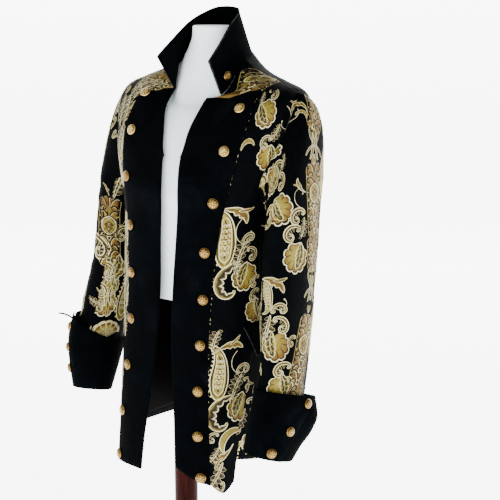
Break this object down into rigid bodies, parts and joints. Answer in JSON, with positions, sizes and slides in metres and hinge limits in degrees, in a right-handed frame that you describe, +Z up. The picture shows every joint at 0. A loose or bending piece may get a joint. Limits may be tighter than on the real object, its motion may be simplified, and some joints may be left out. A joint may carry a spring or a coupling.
{
  "type": "military jacket on a dress form stand",
  "caption": "Open frock-style military coat of brocade and velvet with stand collar and turned cuffs, on a limbless form with pole and round base.",
  "frame": {"origin": "middle of the base's underside, on the pole's axis", "axes": "+Z up along the pole; the coat's front faces -Y and the wearer's left is +X"},
  "size_m": [0.5425, 0.3948, 1.563],
  "materials": {
    "brocade": "black brocade with gold",
    "velvet": "black velvet",
    "lining": "black lining",
    "brass": "antique",
    "form": "smooth white",
    "wood": "reddish brown, satin"
  },
  "bodies": {
    "root": {"base": "wood", "collar": "velvet", "dress_form": "form", "left_back": "brocade", "left_collar_button": "brass", "left_cuff": "velvet", "left_cuff_button_1": "brass", "left_cuff_button_2": "brass", "left_cuff_button_3": "brass", "left_front": "brocade", "left_front_button_1": "brass", "left_front_button_2": "brass", "left_front_button_3": "brass", "left_front_button_4": "brass", "left_front_button_5": "brass", "left_front_button_6": "brass", "left_front_button_7": "brass", "left_front_button_8": "brass", "left_front_button_9": "brass", "left_lining": "lining", "left_pocket_flap": "velvet", "left_side": "brocade", "left_top_sleeve": "brocade", "left_under_sleeve": "brocade", "left_velvet_front": "velvet", "pole": "wood", "right_back": "brocade", "right_collar_button": "brass", "right_cuff": "velvet", "right_cuff_button_1": "brass", "right_cuff_button_2": "brass", "right_cuff_button_3": "brass", "right_cuff_loop": "velvet", "right_front": "brocade", "right_front_button_1": "brass", "right_front_button_2": "brass", "right_front_button_3": "brass", "right_front_button_4": "brass", "right_front_button_5": "brass", "right_front_button_6": "brass", "right_front_button_7": "brass", "right_front_button_8": "brass", "right_front_button_9": "brass", "right_lining": "lining", "right_pocket_flap": "velvet", "right_side": "brocade", "right_top_sleeve": "brocade", "right_under_sleeve": "brocade", "right_velvet_front": "velvet"}
  },
  "joints": []
}
